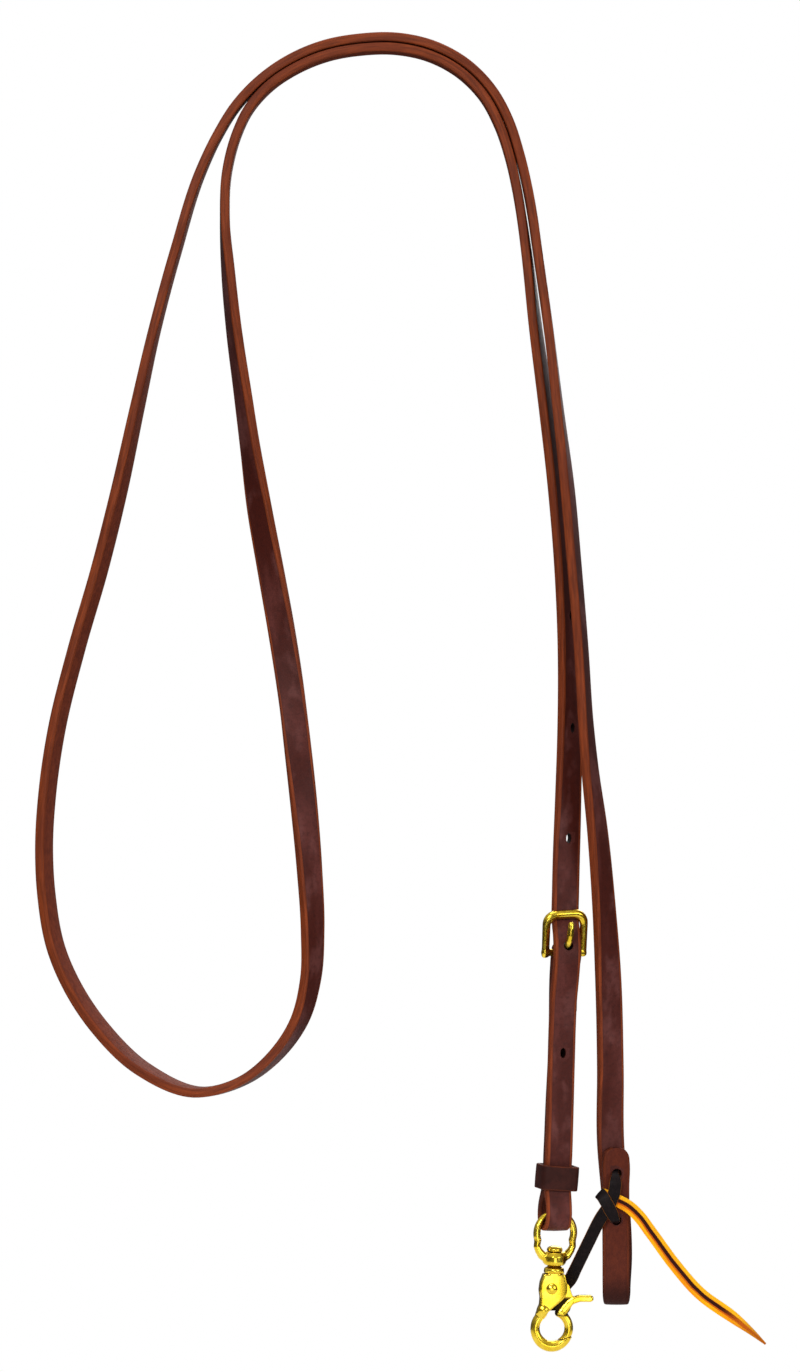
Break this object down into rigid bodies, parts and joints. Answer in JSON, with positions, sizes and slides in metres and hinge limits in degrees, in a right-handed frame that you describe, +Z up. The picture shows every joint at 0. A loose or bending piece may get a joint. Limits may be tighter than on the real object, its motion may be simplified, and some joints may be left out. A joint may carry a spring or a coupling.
{
  "type": "leather roping rein",
  "caption": "One-piece leather rein hanging over a peg, with a buckled swivel snap at one end and a lace-tied loop at the other.",
  "frame": {"origin": "top of the peg that the rein hangs over, under the middle of the arch's inner layer", "axes": "+Z up, along the hanging strands; +Y from the front of the hanging rein to its back, along the peg; +X to the viewer's right"},
  "size_m": [0.3509, 0.032, 0.6326],
  "materials": {
    "harness_leather": "oiled harness leather with a soft sheen and burnished, rust-brown edges",
    "keeper_leather": "dull dark brown leather",
    "lace_leather": "dark latigo grain, yellow-orange flesh side",
    "cast_brass": "tumbled cast brass, soft polish",
    "waxed_thread": "waxed brown thread",
    "spring_steel": "plain spring wire"
  },
  "bodies": {
    "rein": {"rein_strap": "harness_leather", "tie_lace": "lace_leather", "buckle_stitches": "waxed_thread"},
    "keeper_loop": {"keeper": "keeper_leather", "keeper_stitches": "waxed_thread"},
    "buckle": {"buckle_frame": "cast_brass"},
    "tongue": {"buckle_tongue": "cast_brass"},
    "swivel_eye": {"snap_eye": "cast_brass"},
    "hook": {"snap_body": "cast_brass", "snap_rivet": "cast_brass", "gate_spring": "spring_steel"},
    "gate": {"snap_gate": "cast_brass"}
  },
  "joints": [
    {"name": "keeper_slide", "type": "slide", "parent": "rein", "child": "keeper_loop", "axis": [0.0349, 0, 0.9994], "range_m": [0, 0.028]},
    {"name": "buckle_tilt", "type": "hinge", "parent": "rein", "child": "buckle", "pos_m": [0.0913, 0, -0.432], "axis": [0.9505, 0.309, -0.0332], "range_deg": [0, 18]},
    {"name": "tongue_tilt", "type": "hinge", "parent": "rein", "child": "tongue", "pos_m": [0.0913, 0, -0.432], "axis": [0.9505, 0.309, -0.0332], "range_deg": [-3, 3]},
    {"name": "eye_swing", "type": "hinge", "parent": "rein", "child": "swivel_eye", "pos_m": [0.08689, 0, -0.55842], "axis": [0.9505, 0.309, -0.0332], "range_deg": [-35, 4]},
    {"name": "swivel_spin", "type": "hinge", "parent": "swivel_eye", "child": "hook", "pos_m": [0.08674, 0.00018, -0.57893], "axis": [0.0349, 0, 0.9994], "continuous": true},
    {"name": "gate_open", "type": "hinge", "parent": "hook", "child": "gate", "pos_m": [0.08514, 0.00011, -0.59318], "axis": [-0.0697, 0.9976, 0.0024], "range_deg": [0, 10], "stiffness_Nm_per_rad": 0.02, "springref_deg": -34.38}
  ]
}
